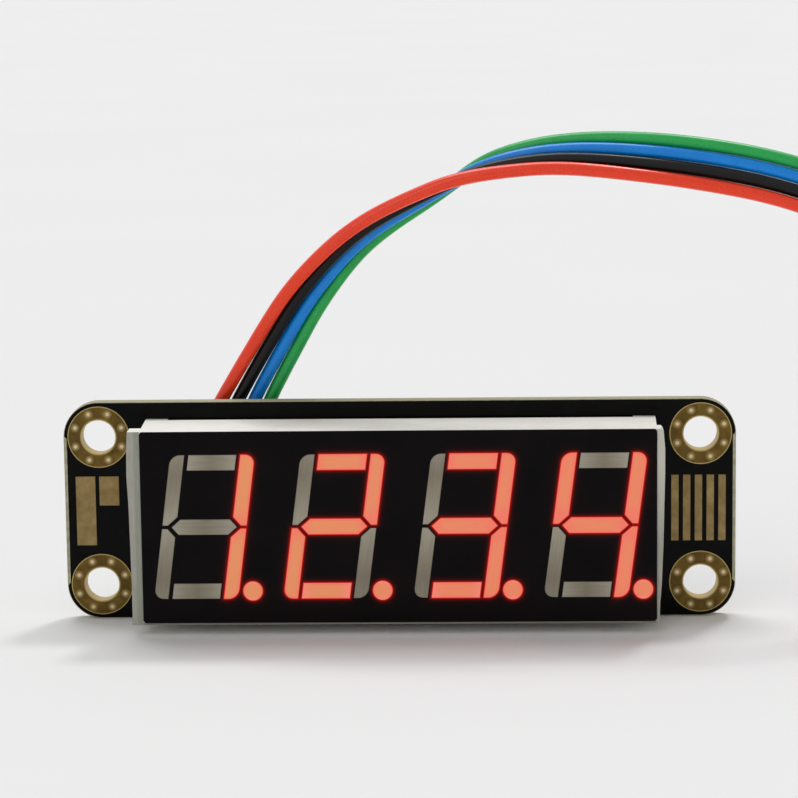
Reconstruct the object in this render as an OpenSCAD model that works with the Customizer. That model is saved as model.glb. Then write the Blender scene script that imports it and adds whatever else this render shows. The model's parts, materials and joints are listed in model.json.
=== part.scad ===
// Four digit seven segment display module on a small black circuit board, with a
// four wire plug-in cable. X runs along the board, Z is up and the digits face -Y.
// The origin is the centre of the four mounting holes on the rear face of the board.

/* [Circuit board] */
// Length of the board beyond the display at each end
end_room = 8.375; // [7:0.125:20]
// Height of the board beyond the display, above and below
edge_room = 1.4; // [1:0.1:5]
// Thickness of the board
board_t = 1.6; // [0.8:0.2:2.4]
// Radius of the board's corners
corner_r = 3.5; // [0.5:0.5:3.5]

/* [Mounting holes] */
// Distance of each hole's centre from the two edges of its corner
hole_inset = 3.5; // [3.3:0.1:4]
// Bore of each plated mounting hole
hole_d = 3.4; // [2.2:0.1:3.6]
// Outer diameter of the plated ring round each hole
ring_d = 6.2; // [6:0.1:6.6]
// Thickness of the plating
plating_t = 0.05; // [0.03:0.01:0.1]
// Number of stitching vias in each ring
via_count = 8; // [4:1:12]
// Place of the vias across the ring, as a share of its width
via_place = 0.57; // [0.45:0.01:0.6]
// Diameter of each via
via_d = 0.6; // [0.3:0.1:0.7]
// Diameter of the solder dot that closes each via
via_dot_d = 0.85; // [0.75:0.05:1]
// Height of the solder dot above the ring
via_dot_t = 0.06; // [0.03:0.01:0.1]

/* [Display housing] */
// Width of the face beyond the digits at each end
face_margin_x = 1.95; // [1.6:0.025:4]
// Height of the face beyond the digits, above and below
face_margin_z = 2.45; // [2:0.05:4]
// Depth of the display, from the board to the front
display_d = 8; // [6.5:0.1:10]
// Sideways offset of the display on the board
display_x = 0.15; // [-0.5:0.05:0.5]
// Upward offset of the display on the board
display_z = -0.3; // [-0.6:0.05:0.6]
// Draft of each end wall, from the front to the back
end_draft = 0.2; // [0.1:0.05:0.5]
// Outer wall of the housing
housing_wall = 1; // [0.6:0.1:1.2]
// Height of the corner feet that keep the housing off the board
foot_h = 0.7; // [0.3:0.1:1]
// Length of each foot
foot_w = 2.2; // [1:0.1:3]
// Width of the rim beyond the black face at the foot of the left end
left_rim = 1.075; // [0.4:0.025:1.4]
// Greatest width of the rim beyond the black face at the right end
right_rim = 0.775; // [0.4:0.025:1.4]
// Depth of the rims at both ends
rim_d = 2.2; // [1:0.1:4]
// Height of the housing left bare below the black face
chin = 0.2; // [0.1:0.05:0.5]
// Thickness of the black face layer
face_t = 0.1; // [0.05:0.05:0.3]

/* [Digits] */
// Numerals that are lit, from left to right
numerals = [1, 2, 3, 4]; // [0:1:7]
// Distance from one digit to the next
digit_pitch = 12.7; // [12:0.1:16]
// Height of a digit
digit_h = 14.3; // [12:0.1:18]
// Width of a digit, measured without its slant
digit_w = 8.25; // [7.4:0.05:8.6]
// Slant of the digits, in degrees
slant = 7.5; // [0:0.5:10]
// Width of the upright segments
bar_v = 1.4; // [1:0.1:1.6]
// Width of the level segments
bar_h = 1.54; // [1:0.02:1.8]
// Gap between neighbouring segments
seg_gap = 0.32; // [0.2:0.02:0.5]
// Gap at the ends of the top and bottom segments
level_gap = 0.38; // [0.2:0.02:0.6]
// Extra clearance at each tip of the middle segment
tip_gap = 0.08; // [0:0.02:0.3]
// Radius of a digit's outer corners
seg_r = 0.95; // [0.3:0.05:1.2]
// Length of the bevel at the waist of the upright segments
waist_cut = 0.85; // [0.6:0.05:0.95]
// Diameter of the decimal points
point_d = 1.9; // [1.2:0.1:2]
// Distance from a digit's right side to the middle of its decimal point
point_step = 0.52; // [0.45:0.01:0.7]

/* [Display insides] */
// Thickness of the little board that carries the light emitting chips
led_board_t = 1; // [0.6:0.1:1.2]
// Clearance round that board
led_board_gap = 0.1; // [0.05:0.05:0.3]
// Width of each light emitting chip
die_w = 0.3; // [0.2:0.05:0.5]
// Thickness of each light emitting chip
die_t = 0.2; // [0.1:0.05:0.3]
// Thickness of the resin that closes the back
resin_t = 1.4; // [0.8:0.1:2]
// Depth of the resin's surface inside the back of the housing
resin_recess = 0.3; // [0.1:0.05:0.5]

/* [Display pins] */
// Pins in each row
pin_count = 6; // [4:1:8]
// Distance from one pin to the next
pin_pitch = 2.54; // [2:0.01:2.54]
// Distance of each row of pins from the display's top or bottom
pin_inset = 1.98; // [1.6:0.02:3]
// Diameter of a pin
pin_d = 0.5; // [0.4:0.05:0.6]
// Length of a pin behind the board
pin_tail = 1.5; // [1.2:0.1:2]
// Diameter of the holes for the pins
pin_hole_d = 1; // [0.8:0.05:1.2]
// Diameter of the solder on the board
solder_d = 1.8; // [1.4:0.1:2]
// Height of the solder round a pin
solder_h = 1; // [0.6:0.1:1.1]

/* [Gold fields] */
// Width of the two gold fields at the left end
field_w = 1.96; // [1:0.02:2.1]
// Gap between the long gold field and the rings above and below it
field_gap = 0.9; // [0.3:0.1:2]
// Height of the short gold field, as a share of the long one
short_field = 0.42; // [0.2:0.02:0.8]
// Distance between the centres of the two gold fields
field_step = 2.36; // [2.3:0.02:2.6]
// Width of the striped gold field at the right end
stripe_field_w = 5.4; // [3:0.1:5.6]
// Number of gold stripes in it
stripe_count = 5; // [3:1:7]
// Share of each step that is gold
stripe_share = 0.62; // [0.4:0.02:0.8]

/* [Cable header] */
// Distance between the cable's contacts at the board
way_pitch = 2; // [1.9:0.05:2.1]
// Distance from the board's left end to the middle of the header
header_inset = 16.7; // [15:0.1:18]
// Height of the header's mouth above the hole centre
header_mouth_z = 3; // [0:0.1:4]
// Width of the header beyond its outer contacts, both sides together
header_side = 5.9; // [5.5:0.1:6.5]
// Wall of the header on its outer side
header_lid = 0.6; // [0.4:0.05:0.8]
// Length of the header
header_len = 7.6; // [6.5:0.1:8.5]
// Floor of the header's socket
header_floor = 1.4; // [1:0.1:1.8]
// Wall of the header beside the board
header_wall = 0.5; // [0.4:0.05:0.7]
// Width of a header contact
post_w = 0.5; // [0.4:0.05:0.6]
// Thickness of the anchor tabs
tab_t = 0.3; // [0.2:0.05:0.5]

/* [Cable plug] */
// Thickness of the plug
plug_t = 4.2; // [3.6:0.1:4.3]
// Width of the plug beyond its outer contacts, both sides together
plug_side = 3.8; // [3.4:0.1:4]
// Length of the plug that stands out of the header
plug_out = 2.5; // [1.5:0.1:2.5]
// Gap between the plug and the header round it
plug_gap = 0.1; // [0.05:0.05:0.2]
// Depth of the wires' ends inside the plug
wire_sink = 1; // [0.5:0.1:1]
// Width of the plug's contact channels
channel_w = 1.6; // [1.5:0.05:1.7]

/* [Driver chip] */
// Length of the chip's body beyond its outer leads, at each end
chip_end = 0.5; // [0.3:0.05:0.8]
// Width of the chip's body
chip_h = 3.9; // [3.5:0.1:4.5]
// Thickness of the chip's body
chip_t = 1.5; // [1.2:0.1:1.8]
// Distance from the middle of the header to the middle of the chip
chip_step = 20.8; // [20:0.2:23]
// Gap under the chip's body
chip_standoff = 0.15; // [0.05:0.05:0.25]
// Distance from one lead to the next
lead_pitch = 1.27; // [1.2:0.01:1.27]
// Leads on each side
lead_count = 8; // [4:1:8]
// Width of a lead
lead_w = 0.42; // [0.3:0.02:0.5]
// Thickness of a lead
lead_t = 0.2; // [0.15:0.01:0.25]
// Reach of each lead beyond the chip's body
lead_reach = 1.05; // [0.95:0.05:1.3]

/* [Small parts] */
// Length of a resistor or capacitor
smd_w = 1.6; // [1.4:0.1:2]
// Width of a resistor or capacitor
smd_h = 0.8; // [0.6:0.1:1]
// Thickness of a resistor
resistor_t = 0.45; // [0.35:0.05:0.6]
// Thickness of a capacitor
capacitor_t = 0.8; // [0.6:0.05:0.9]
// Length of each metal end
cap_len = 0.3; // [0.2:0.05:0.4]
// Thickness of the solder pads on the rear
pad_t = 0.05; // [0.03:0.01:0.1]

/* [Cable] */
// Diameter of each wire
wire_d = 1.35; // [1.1:0.05:1.35]
// Thickness of the two ties round the coil
tie_t = 0.6; // [0.4:0.1:0.6]
// Width of the ties
tie_w = 2.4; // [1.5:0.1:3]
// Inner radius of the coil of cable that is put away
coil_inner_r = 7.9; // [7:0.1:12]
// Distance between the board's right end and the coil
coil_gap = 11.3; // [10:0.1:20]

/* [Socket on the far end] */
// Distance between the socket's contacts
socket_pitch = 2.54; // [2.5:0.01:2.54]
// Length of the socket housing
socket_len = 14; // [11:0.5:16]
// Distance between the coil and the socket
socket_gap = 6.8; // [6:0.1:12]
// Thickness of the socket housing
socket_t = 2.54; // [2.4:0.02:2.54]
// Width of the openings at the socket's mouth
socket_mouth_w = 0.9; // [0.7:0.05:1.1]
// Width of the channels behind them
socket_channel_w = 1.9; // [1.7:0.05:2]

/* [Hidden] */
$fn = 48;

// Display and board, worked out from the digits
digits = 4;
display_w = (digits - 1) * digit_pitch + digit_w + 2 * face_margin_x;
display_h = digit_h + 2 * face_margin_z;
board_w = display_w + 2 * end_room;
board_h = display_h + 2 * edge_room;
hole_spacing_x = board_w - 2 * hole_inset;
hole_spacing_z = board_h - 2 * hole_inset;
via_circle_d = hole_d + via_place * (ring_d - hole_d);
long_field_h = hole_spacing_z - ring_d - 2 * field_gap;

// Depths of the display, all along Y
board_front = -board_t;
housing_back = board_front - foot_h;
face_front = board_front - display_d;
face_back = face_front + face_t;
resin_back = housing_back - resin_recess;
led_board_back = resin_back - resin_t;
well_back = led_board_back - led_board_t;
cavity_w = display_w - 2 * housing_wall;
cavity_h = display_h - 2 * housing_wall;
pin_row_z = [for (side = [-1, 1]) display_z + side * (display_h / 2 - pin_inset)];

// Digits, centred on the face but for a small shift that makes room for the points
digit_shift_x = 0.1;
digit_shift_z = 0.17;
digit_z = display_z + digit_shift_z;
half_w = digit_w / 2;
inner_w = half_w - bar_v;
half_h = digit_h / 2;
inner_h = half_h - bar_h;
waist_z = seg_gap / 2;
waist_line = inner_w + waist_z + waist_cut - seg_gap * sqrt(2) - tip_gap;
point_x = half_w + point_step;
point_z = -half_h + bar_h / 2;
arc_steps = 6;
segment_names = "abcdefg";
lit_letters = ["abcdef", "bc", "abdeg", "abcdg", "bcfg", "acdfg", "acdefg", "abc"];

// Cable header, plug and the wires in them
ways = 4;
header_x = header_inset - board_w / 2;
header_w = way_pitch * (ways - 1) + header_side;
header_low_z = header_mouth_z - header_len;
header_floor_z = header_low_z + header_floor;
plug_w = way_pitch * (ways - 1) + plug_side;
plug_y = header_wall + plug_gap + plug_t / 2;
plug_low_z = header_floor_z + plug_gap;
plug_top_z = header_mouth_z + plug_out;
wire_end_z = plug_top_z - wire_sink;
cavity_t = plug_t + 2 * plug_gap;
header_h = header_wall + cavity_t + header_lid;
foot_len = 1.2;
tab_foot = 1.3;
tab_len = 3;
tab_mid_z = header_mouth_z - 1 - tab_len / 2;

// Small parts on the rear, on both sides of the chip: place along X and Z
lead_foot = 0.7;
lead_span = chip_h + 2 * lead_reach;
chip_w = (lead_count - 1) * lead_pitch + lead_w + 2 * (chip_end - 0.2);
chip_x = header_x + chip_step;
smd_left = chip_x - chip_w / 2 - 4.2;
smd_right = chip_x + chip_w / 2 + 3.4;
resistor_at = [[smd_left, 2.4], [smd_left, -2.4], [smd_right, 2.4]];
capacitor_at = [[smd_right, 0], [smd_right, -2.4]];

// Coil of the length that is put away, lying on its two ties
wire_step = wire_d + 0.05;
turn_step = wire_d + 0.07;
coil_turns = 2.1;
coil_outer_r = coil_inner_r + wire_d + coil_turns * turn_step;
coil_x = board_w / 2 + coil_gap + coil_outer_r;
coil_y = 3;
coil_h = wire_d + 3 * wire_step;
floor_z = -board_h / 2;
coil_z = floor_z + tie_t;
coil_mid_z = coil_z + coil_h / 2;
hole_x = coil_x - coil_inner_r;
tie_angles = [25, 205];
tie_head = 3.2;

// Socket on the far end
socket_x = coil_x + coil_outer_r + socket_gap;
socket_y = -5.5;
socket_w = socket_pitch * ways;
socket_z = floor_z + socket_t / 2;
socket_step = 1.2;

// Routes of the four wires. Each row holds the middle of the bundle, the direction
// from the red wire to the green one, and the distance between neighbouring wires.
// The arch is told from the header's mouth, and the drop from the coil's inner wall
arch = [
  [0, plug_y, wire_end_z - header_mouth_z, 1, 0, 0, way_pitch],
  [0.1, plug_y, plug_out + 1.7, 0.97, 0.12, -0.2, way_pitch - 0.15],
  [1.25, 3, 7.4, 0.86, 0.25, -0.42, 1.5],
  [4.75, 3, 13.6, 0.8, 0.36, -0.47, wire_step],
  [7.5, 3, 18, 0.68, 0.56, -0.5, wire_step],
  [11.3, 3, 22.4, 0.45, 0.75, -0.45, wire_step],
  [15, 3, 25.3, 0.3, 0.86, -0.42, wire_step],
  [19.7, 3, 27.9, 0.16, 0.94, -0.28, wire_step],
  [22.6, 3, 29.4, 0.05, 1, -0.1, wire_step],
  [26.6, 3, 31, -0.08, 0.93, 0.3, wire_step],
  [33.1, 3, 32, 0, 0.8, 0.6, wire_step],
  [41.5, 3, 31.6, 0.1, 0.53, 0.83, wire_step],
  [48.8, 3, 30.6, 0.15, 0.38, 0.9, wire_step],
  [54.8, 3, 29.3, 0.25, 0.35, 0.9, wire_step]
];
drop = [
  [hole_x - 5.5, 3.3, header_mouth_z + 27.2, 0.4, 0.3, 0.85, wire_step],
  [hole_x - 1.1, 4, header_mouth_z + 23, 0.7, 0.4, 0.6, wire_step],
  [hole_x + 1.7, 5, header_mouth_z + 15, 0.85, 0.5, 0.1, wire_step],
  [hole_x + 2.9, 6, floor_z + 18, 0.7, 0.7, 0, wire_step],
  [hole_x + 2.9, 6.2, floor_z + 10, 0.4, 0.9, -0.1, wire_step],
  [hole_x + 2.1, 5.2, floor_z + 5.4, 0.1, 0.6, -0.8, wire_step],
  [hole_x + 1, 3.4, coil_mid_z, 0, 0.1, -1, wire_step]
];
bundle = concat([for (r = arch) r + [header_x, 0, header_mouth_z, 0, 0, 0, 0]], drop);
tail_r = coil_outer_r + wire_d / 2 + 0.3;
tail = [
  [coil_x + tail_r * 0.4, coil_y - tail_r * 0.917, coil_mid_z, 0, 0, -1, wire_step],
  [coil_x + tail_r * 0.72, coil_y - tail_r * 0.83, coil_mid_z - 0.25, 0, -0.35, -0.94, 1.6],
  [coil_x + 14, -6.5, socket_z + 0.6, 0, -0.98, -0.2, 2.2],
  [socket_x + wire_sink, socket_y, socket_z, 0, -1, 0, socket_pitch]
];
wire_sides = 8;
wire_parts = 2;

// Flat outline in X and Z, made solid from one depth to a greater one
module slab(front, back) {
  translate([0, back, 0]) rotate([90, 0, 0]) linear_extrude(back - front) children();
}

module block(x, y, z) {
  translate([x[0], y[0], z[0]]) cube([x[1] - x[0], y[1] - y[0], z[1] - z[0]]);
}

module rounded_rect(w, h, r) {
  square([w - 2 * r, h], center = true);
  square([w, h - 2 * r], center = true);
  for (x = [-1, 1], y = [-1, 1]) translate([x * (w / 2 - r), y * (h / 2 - r)]) circle(r);
}

module at_holes() {
  for (x = [-1, 1], z = [-1, 1])
    translate([x * hole_spacing_x / 2, z * hole_spacing_z / 2]) children();
}

module at_vias() {
  for (i = [0 : via_count - 1])
    rotate(180 / via_count + i * 360 / via_count) translate([via_circle_d / 2, 0]) children();
}

module at_pins() {
  for (z = pin_row_z, i = [0 : pin_count - 1])
    translate([display_x + (i - (pin_count - 1) / 2) * pin_pitch, z]) children();
}

// Circuit board

module circuit_board() {
  color("#161512") slab(board_front, 0) difference() {
    rounded_rect(board_w, board_h, corner_r);
    at_holes() {
      circle(d = hole_d + 2 * plating_t);
      at_vias() circle(d = via_d);
    }
    at_pins() circle(d = pin_hole_d);
  }
}

module mounting_hole_plating() {
  color("#6e5a22") at_rear_plane() at_holes_solid() union() {
    for (side = [0, 1]) translate([0, 0, side ? board_t : -plating_t])
      linear_extrude(plating_t) difference() {
        circle(d = ring_d);
        circle(d = hole_d);
      }
    linear_extrude(board_t) difference() {
      circle(d = hole_d + 2 * plating_t);
      circle(d = hole_d);
    }
    at_vias() {
      translate([0, 0, -plating_t / 2]) cylinder(d = via_d, h = board_t + plating_t, $fn = 24);
      for (side = [0, 1])
        translate([0, 0, side ? board_t + plating_t : -plating_t - via_dot_t])
          cylinder(d = via_dot_d, h = via_dot_t, $fn = 24);
    }
  }
}

// Turns solids that stand on the rear face along +Z so that they run into the board
module at_rear_plane() {
  rotate([90, 0, 0]) children();
}

module at_holes_solid() {
  for (x = [-1, 1], z = [-1, 1])
    translate([x * hole_spacing_x / 2, z * hole_spacing_z / 2, 0]) children();
}

module front_gold_fields() {
  left = -hole_spacing_x / 2 - 0.24;
  top = long_field_h / 2;
  short_field_h = long_field_h * short_field;
  color("#6b5620") slab(board_front - plating_t, board_front) {
    translate([left - field_step / 2, 0]) square([field_w, long_field_h], center = true);
    translate([left + field_step / 2, top - short_field_h / 2])
      square([field_w, short_field_h], center = true);
    stripes(hole_spacing_x / 2 - 0.2);
  }
}

module stripes(middle_x) {
  step = stripe_field_w / (stripe_count - 1 + stripe_share);
  for (i = [0 : stripe_count - 1])
    translate([middle_x - stripe_field_w / 2 + step * (i + stripe_share / 2), 0])
      square([step * stripe_share, long_field_h * 0.95], center = true);
}

// Pads under everything that is soldered to the rear face
module rear_pads() {
  pad_w = 0.6;
  color("#9a8a4a") slab(0, pad_t) {
    for (i = [0 : ways - 1]) translate([way_x(i), header_low_z - foot_len / 2])
      square([pad_w * 1.6, foot_len + pad_w], center = true);
    for (side = [-1, 1]) translate([header_x + side * (header_w / 2 + tab_foot / 2), tab_mid_z])
      square([tab_foot + pad_w / 2, tab_len + pad_w / 2], center = true);
    for (i = [0 : lead_count - 1], side = [-1, 1])
      translate([lead_x(i), side * (lead_span / 2 - lead_foot / 2)])
        square([pad_w, lead_foot + pad_w], center = true);
    for (at = concat(resistor_at, capacitor_at), side = [-1, 1])
      translate([at[0] + side * (smd_w - cap_len) / 2, at[1]])
        square([cap_len + pad_w / 2, smd_h], center = true);
  }
}

// Display

function arc(c, r, a) =
  [for (i = [0 : arc_steps]) let (t = a[0] + (a[1] - a[0]) * i / arc_steps) c + r * [cos(t), sin(t)]];

function slanted(points) = [for (p = points) [p[0] + p[1] * tan(slant), p[1]]];

function flipped(points, x, z) = [for (p = points) [p[0] * x, p[1] * z]];

upright = concat(
  [[-half_w, waist_z], [-inner_w - waist_cut, waist_z], [-inner_w, waist_z + waist_cut],
   [-inner_w, half_h]],
  arc([-half_w + seg_r, half_h - seg_r], seg_r, [90, 180]));
level = [[-inner_w + level_gap, inner_h], [inner_w - level_gap, inner_h],
         [inner_w - level_gap, half_h], [-inner_w + level_gap, half_h]];
middle = [[-waist_line, 0], [-waist_line + bar_h / 2, -bar_h / 2],
          [waist_line - bar_h / 2, -bar_h / 2], [waist_line, 0],
          [waist_line - bar_h / 2, bar_h / 2], [-waist_line + bar_h / 2, bar_h / 2]];

function segment(letter) = slanted(
  letter == "a" ? level : letter == "b" ? flipped(upright, -1, 1)
  : letter == "c" ? flipped(upright, -1, -1) : letter == "d" ? flipped(level, 1, -1)
  : letter == "e" ? flipped(upright, 1, -1) : letter == "f" ? upright : middle);

function segment_middle(letter) =
  let (x = half_w - bar_v / 2, z = half_h / 2 + bar_v / 4, top = half_h - bar_h / 2)
  slanted([letter == "a" ? [0, top] : letter == "b" ? [x, z] : letter == "c" ? [x, -z]
    : letter == "d" ? [0, -top] : letter == "e" ? [-x, -z] : letter == "f" ? [-x, z] : [0, 0]])[0];

function is_lit(digit, letter) = len(search(letter, lit_letters[numerals[digit]])) > 0;

function digit_place(digit) =
  [display_x + digit_shift_x + (digit - 1.5) * digit_pitch, digit_z];

function letters(digit, lit) = [for (s = segment_names) if (is_lit(digit, s) == lit) s];

module digit_outline(digit, which) {
  translate(digit_place(digit)) for (s = which) polygon(segment(s));
}

module points_outline() {
  for (digit = [0 : 3]) translate(digit_place(digit) + [point_x, point_z]) circle(d = point_d);
}

module light_wells() {
  for (digit = [0 : 3]) digit_outline(digit, segment_names);
  points_outline();
}

module dies(front, back) {
  slab(front, back) {
    for (digit = [0 : 3], s = segment_names)
      translate(digit_place(digit) + segment_middle(s)) square(die_w, center = true);
    for (digit = [0 : 3])
      translate(digit_place(digit) + [point_x, point_z]) square(die_w, center = true);
  }
}

module display_housing() {
  half = display_w / 2;
  color("#f2f1ea") difference() {
    translate([display_x, 0, display_z]) {
      translate([0, 0, -display_h / 2]) linear_extrude(display_h)
        polygon([[-half, face_back], [half, face_back], [half + end_draft, housing_back],
                 [-half - end_draft, housing_back]]);
      slab(face_back, face_back + rim_d) end_rims(half);
      for (x = [-1, 1], z = [-1, 1]) foot(x, z);
    }
    slab(face_back - face_t, well_back) light_wells();
    translate([display_x, 0, display_z]) slab(well_back, housing_back + foot_h)
      square([cavity_w, cavity_h], center = true);
  }
}

// Rims at the two ends of the front, which the black face leaves bare
module end_rims(half) {
  top = display_h / 2;
  overlap = end_draft;
  swell = [[1, -1], [1, -0.6], [1.05, -0.2], [1.12, 0.25], [1.24, 0.55], [1.2, 0.8], [1.1, 1]];
  translate([-half, 0]) polygon(concat([[overlap, top], [overlap, -top]],
    [for (p = swell) [-p[0] * left_rim, p[1] * top]]));
  shares = [[0.15, -1], [0.35, -0.97], [0.4, -0.8], [0.6, -0.6], [0.8, -0.2], [1, 0.55],
            [1, 0.8], [0.8, 0.98], [0.6, 1]];
  translate([half, 0]) polygon(concat([[-overlap, top], [-overlap, -top]],
    [for (p = shares) [p[0] * right_rim, p[1] * top]]));
}

module foot(x, z) {
  reach = display_w / 2 + end_draft;
  block(x > 0 ? [reach - foot_w, reach] : [-reach, foot_w - reach], [housing_back, board_front],
        z > 0 ? [display_h / 2 - foot_w, display_h / 2] : [-display_h / 2, foot_w - display_h / 2]);
}

module display_face() {
  color("#15110f") slab(face_front, face_back) difference() {
    translate([display_x, display_z + chin / 2]) rounded_rect(display_w, display_h - chin, 0.3);
    light_wells();
  }
}

module segments(digit, lit) {
  color(lit ? "#ee8562" : "#9a9687") difference() {
    slab(face_front, well_back) digit_outline(digit, letters(digit, lit));
    dies(well_back - die_t, well_back + die_t);
  }
}

module decimal_points() {
  color("#ee8562") difference() {
    slab(face_front, well_back) points_outline();
    dies(well_back - die_t, well_back + die_t);
  }
}

module led_board() {
  color("#3c6b46") slab(well_back, led_board_back) difference() {
    translate([display_x, display_z])
      square([cavity_w - 2 * led_board_gap, cavity_h - 2 * led_board_gap], center = true);
    at_pins() circle(d = pin_d);
  }
}

module led_dies() {
  color("#d9a441") dies(well_back - die_t, well_back);
}

module potting_resin() {
  color("#d8d2bf") slab(led_board_back, resin_back) difference() {
    translate([display_x, display_z]) square([cavity_w, cavity_h], center = true);
    at_pins() circle(d = pin_d);
  }
}

module display_pins() {
  color("#c9c9c4") slab(well_back, pin_tail) at_pins() circle(d = pin_d);
}

module pin_solder() {
  color("#b9bab6") for (z = pin_row_z, i = [0 : pin_count - 1])
    translate([display_x + (i - (pin_count - 1) / 2) * pin_pitch, 0, z]) rotate([-90, 0, 0])
      difference() {
        union() {
          translate([0, 0, -board_t]) cylinder(d = pin_hole_d, h = board_t);
          cylinder(d1 = solder_d, d2 = pin_d + 0.2, h = solder_h);
        }
        translate([0, 0, -board_t - 1]) cylinder(d = pin_d, h = board_t + solder_h + 2);
      }
}

// Driver chip and small parts

function lead_x(i) = chip_x + (i - (lead_count - 1) / 2) * lead_pitch;

module driver_chip() {
  mid = chip_standoff + chip_t / 2;
  bevel = 0.15;
  color("#1b1b1d") difference() {
    translate([chip_x, 0, 0]) hull() {
      slab(chip_standoff, chip_standoff + chip_t)
        square([chip_w - 2 * bevel, chip_h - 2 * bevel], center = true);
      slab(mid - lead_t / 2, mid + lead_t / 2) square([chip_w, chip_h], center = true);
    }
    slab(chip_standoff + chip_t - 0.1, chip_standoff + chip_t + 1)
      translate([lead_x(0), -chip_h / 2 + 1]) circle(d = 0.9, $fn = 24);
  }
}

// One gull wing lead, as a bent strip seen from its side
module lead_profile() {
  high = chip_standoff + chip_t / 2 + lead_t / 2;
  out = lead_span / 2;
  knee = chip_h / 2 + 0.25;
  polygon([[chip_h / 2, high], [knee, high], [out - lead_foot + lead_t, pad_t + lead_t],
           [out, pad_t + lead_t], [out, pad_t], [out - lead_foot, pad_t],
           [knee - lead_t / 2, high - lead_t], [chip_h / 2, high - lead_t]]);
}

module driver_chip_leads() {
  color("#c4c5c3") for (i = [0 : lead_count - 1], side = [-1, 1])
    translate([lead_x(i), 0, 0]) rotate([0, side > 0 ? 0 : 180, 0])
      translate([-lead_w / 2, 0, 0]) rotate([90, 0, 90]) linear_extrude(lead_w)
        mirror([1, -1]) lead_profile();
}

module small_part(at, t, from, to) {
  block([at[0] + from, at[0] + to], [pad_t, pad_t + t], [at[1] - smd_h / 2, at[1] + smd_h / 2]);
}

module resistors() {
  color("#23252b")
    for (at = resistor_at) small_part(at, resistor_t, cap_len - smd_w / 2, smd_w / 2 - cap_len);
}

module capacitors() {
  color("#b08a5c")
    for (at = capacitor_at) small_part(at, capacitor_t, cap_len - smd_w / 2, smd_w / 2 - cap_len);
}

module passive_end_caps() {
  color("#c4c5c3") {
    for (at = resistor_at) end_caps(at, resistor_t);
    for (at = capacitor_at) end_caps(at, capacitor_t);
  }
}

module end_caps(at, t) {
  small_part(at, t, -smd_w / 2, cap_len - smd_w / 2);
  small_part(at, t, smd_w / 2 - cap_len, smd_w / 2);
}

// Cable header and plug

function way_x(i) = header_x + (i - (ways - 1) / 2) * way_pitch;

module header_shell() {
  cavity_y = [header_wall, header_wall + cavity_t];
  half = plug_w / 2 + plug_gap;
  notch = way_pitch * 1.4;
  color("#eeebe0") difference() {
    block([header_x - header_w / 2, header_x + header_w / 2], [pad_t, header_h],
          [header_low_z, header_mouth_z]);
    block([header_x - half, header_x + half], cavity_y, [header_floor_z, header_mouth_z + 1]);
    for (side = [-1, 1])
      translate([header_x + side * way_pitch * 1.5, 0, 0])
        block([-0.6, 0.6], [cavity_y[1] - 1, header_h + 1], [header_mouth_z - 3, header_mouth_z + 1]);
    block([header_x - notch / 2, header_x + notch / 2], [cavity_y[1] - 1, header_h + 1],
          [header_mouth_z - 1.6, header_mouth_z + 1]);
    for (i = [0 : ways - 1]) post_block(i, [header_low_z - 1, header_floor_z + 1]);
  }
}

module post_block(i, z) {
  block([way_x(i) - post_w / 2, way_x(i) + post_w / 2], [plug_y - post_w / 2, plug_y + post_w / 2], z);
}

module header_contacts() {
  post_top = header_mouth_z - 1.6;
  color("#c9c6b4") for (i = [0 : ways - 1]) {
    post_block(i, [header_low_z - post_w, post_top]);
    block([way_x(i) - post_w / 2, way_x(i) + post_w / 2], [pad_t, plug_y + post_w / 2],
          [header_low_z - post_w, header_low_z]);
    block([way_x(i) - post_w / 2, way_x(i) + post_w / 2], [pad_t, pad_t + post_w * 0.6],
          [header_low_z - foot_len, header_low_z]);
  }
}

module header_anchor_tabs() {
  color("#c4c5c3") for (side = [-1, 1]) translate([header_x, 0, tab_mid_z]) {
    near = header_w / 2;
    block(side > 0 ? [near, near + tab_foot] : [-near - tab_foot, -near], [pad_t, pad_t + tab_t],
          [-tab_len / 2, tab_len / 2]);
    block(side > 0 ? [near, near + tab_t] : [-near - tab_t, -near], [pad_t, header_h * 0.55],
          [-tab_len / 2, tab_len / 2]);
  }
}

module plug_shell() {
  lip = 0.5;
  color("#f3f0e6") difference() {
    union() {
      block([header_x - plug_w / 2, header_x + plug_w / 2], [plug_y - plug_t / 2, plug_y + plug_t / 2],
            [plug_low_z, plug_top_z]);
      for (side = [-1, 1]) translate([header_x + side * way_pitch * 1.5, 0, 0])
        block([-0.45, 0.45], [plug_y + plug_t / 2, header_h], [header_mouth_z - 2.6, plug_top_z - 1]);
    }
    for (i = [0 : ways - 1]) {
      channel(i, [plug_low_z + lip, plug_top_z + 1]);
      block([way_x(i) - post_w / 2 - 0.1, way_x(i) + post_w / 2 + 0.1],
            [plug_y - post_w / 2 - 0.1, plug_y + post_w / 2 + 0.1], [plug_low_z - 1, plug_low_z + 1]);
      block([way_x(i) - 0.45, way_x(i) + 0.45], [plug_y, plug_y + plug_t],
            [header_mouth_z - 4.4, header_mouth_z - 2.9]);
    }
  }
}

module channel(i, z) {
  block([way_x(i) - channel_w / 2, way_x(i) + channel_w / 2],
        [plug_y - channel_w / 2, plug_y + channel_w / 2], z);
}

// Crimp contacts: a box that grips the post and a barrel that grips the wire
module plug_contacts() {
  low = plug_low_z + 0.5;
  box_top = header_mouth_z - 0.6;
  size = channel_w - 0.2;
  color("#cfcdbd") for (i = [0 : ways - 1]) difference() {
    union() {
      block([way_x(i) - size / 2, way_x(i) + size / 2], [plug_y - size / 2, plug_y + size / 2],
            [low, box_top]);
      translate([way_x(i), plug_y, box_top]) cylinder(d = size - 0.1, h = wire_end_z - box_top);
    }
    post_block(i, [low - 1, header_mouth_z - 1.6]);
  }
}

// Cable

function unit(v) = v / norm(v);

function at(row) = [row[0], row[1], row[2]];

function side(row) = [row[3], row[4], row[5]];

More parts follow.
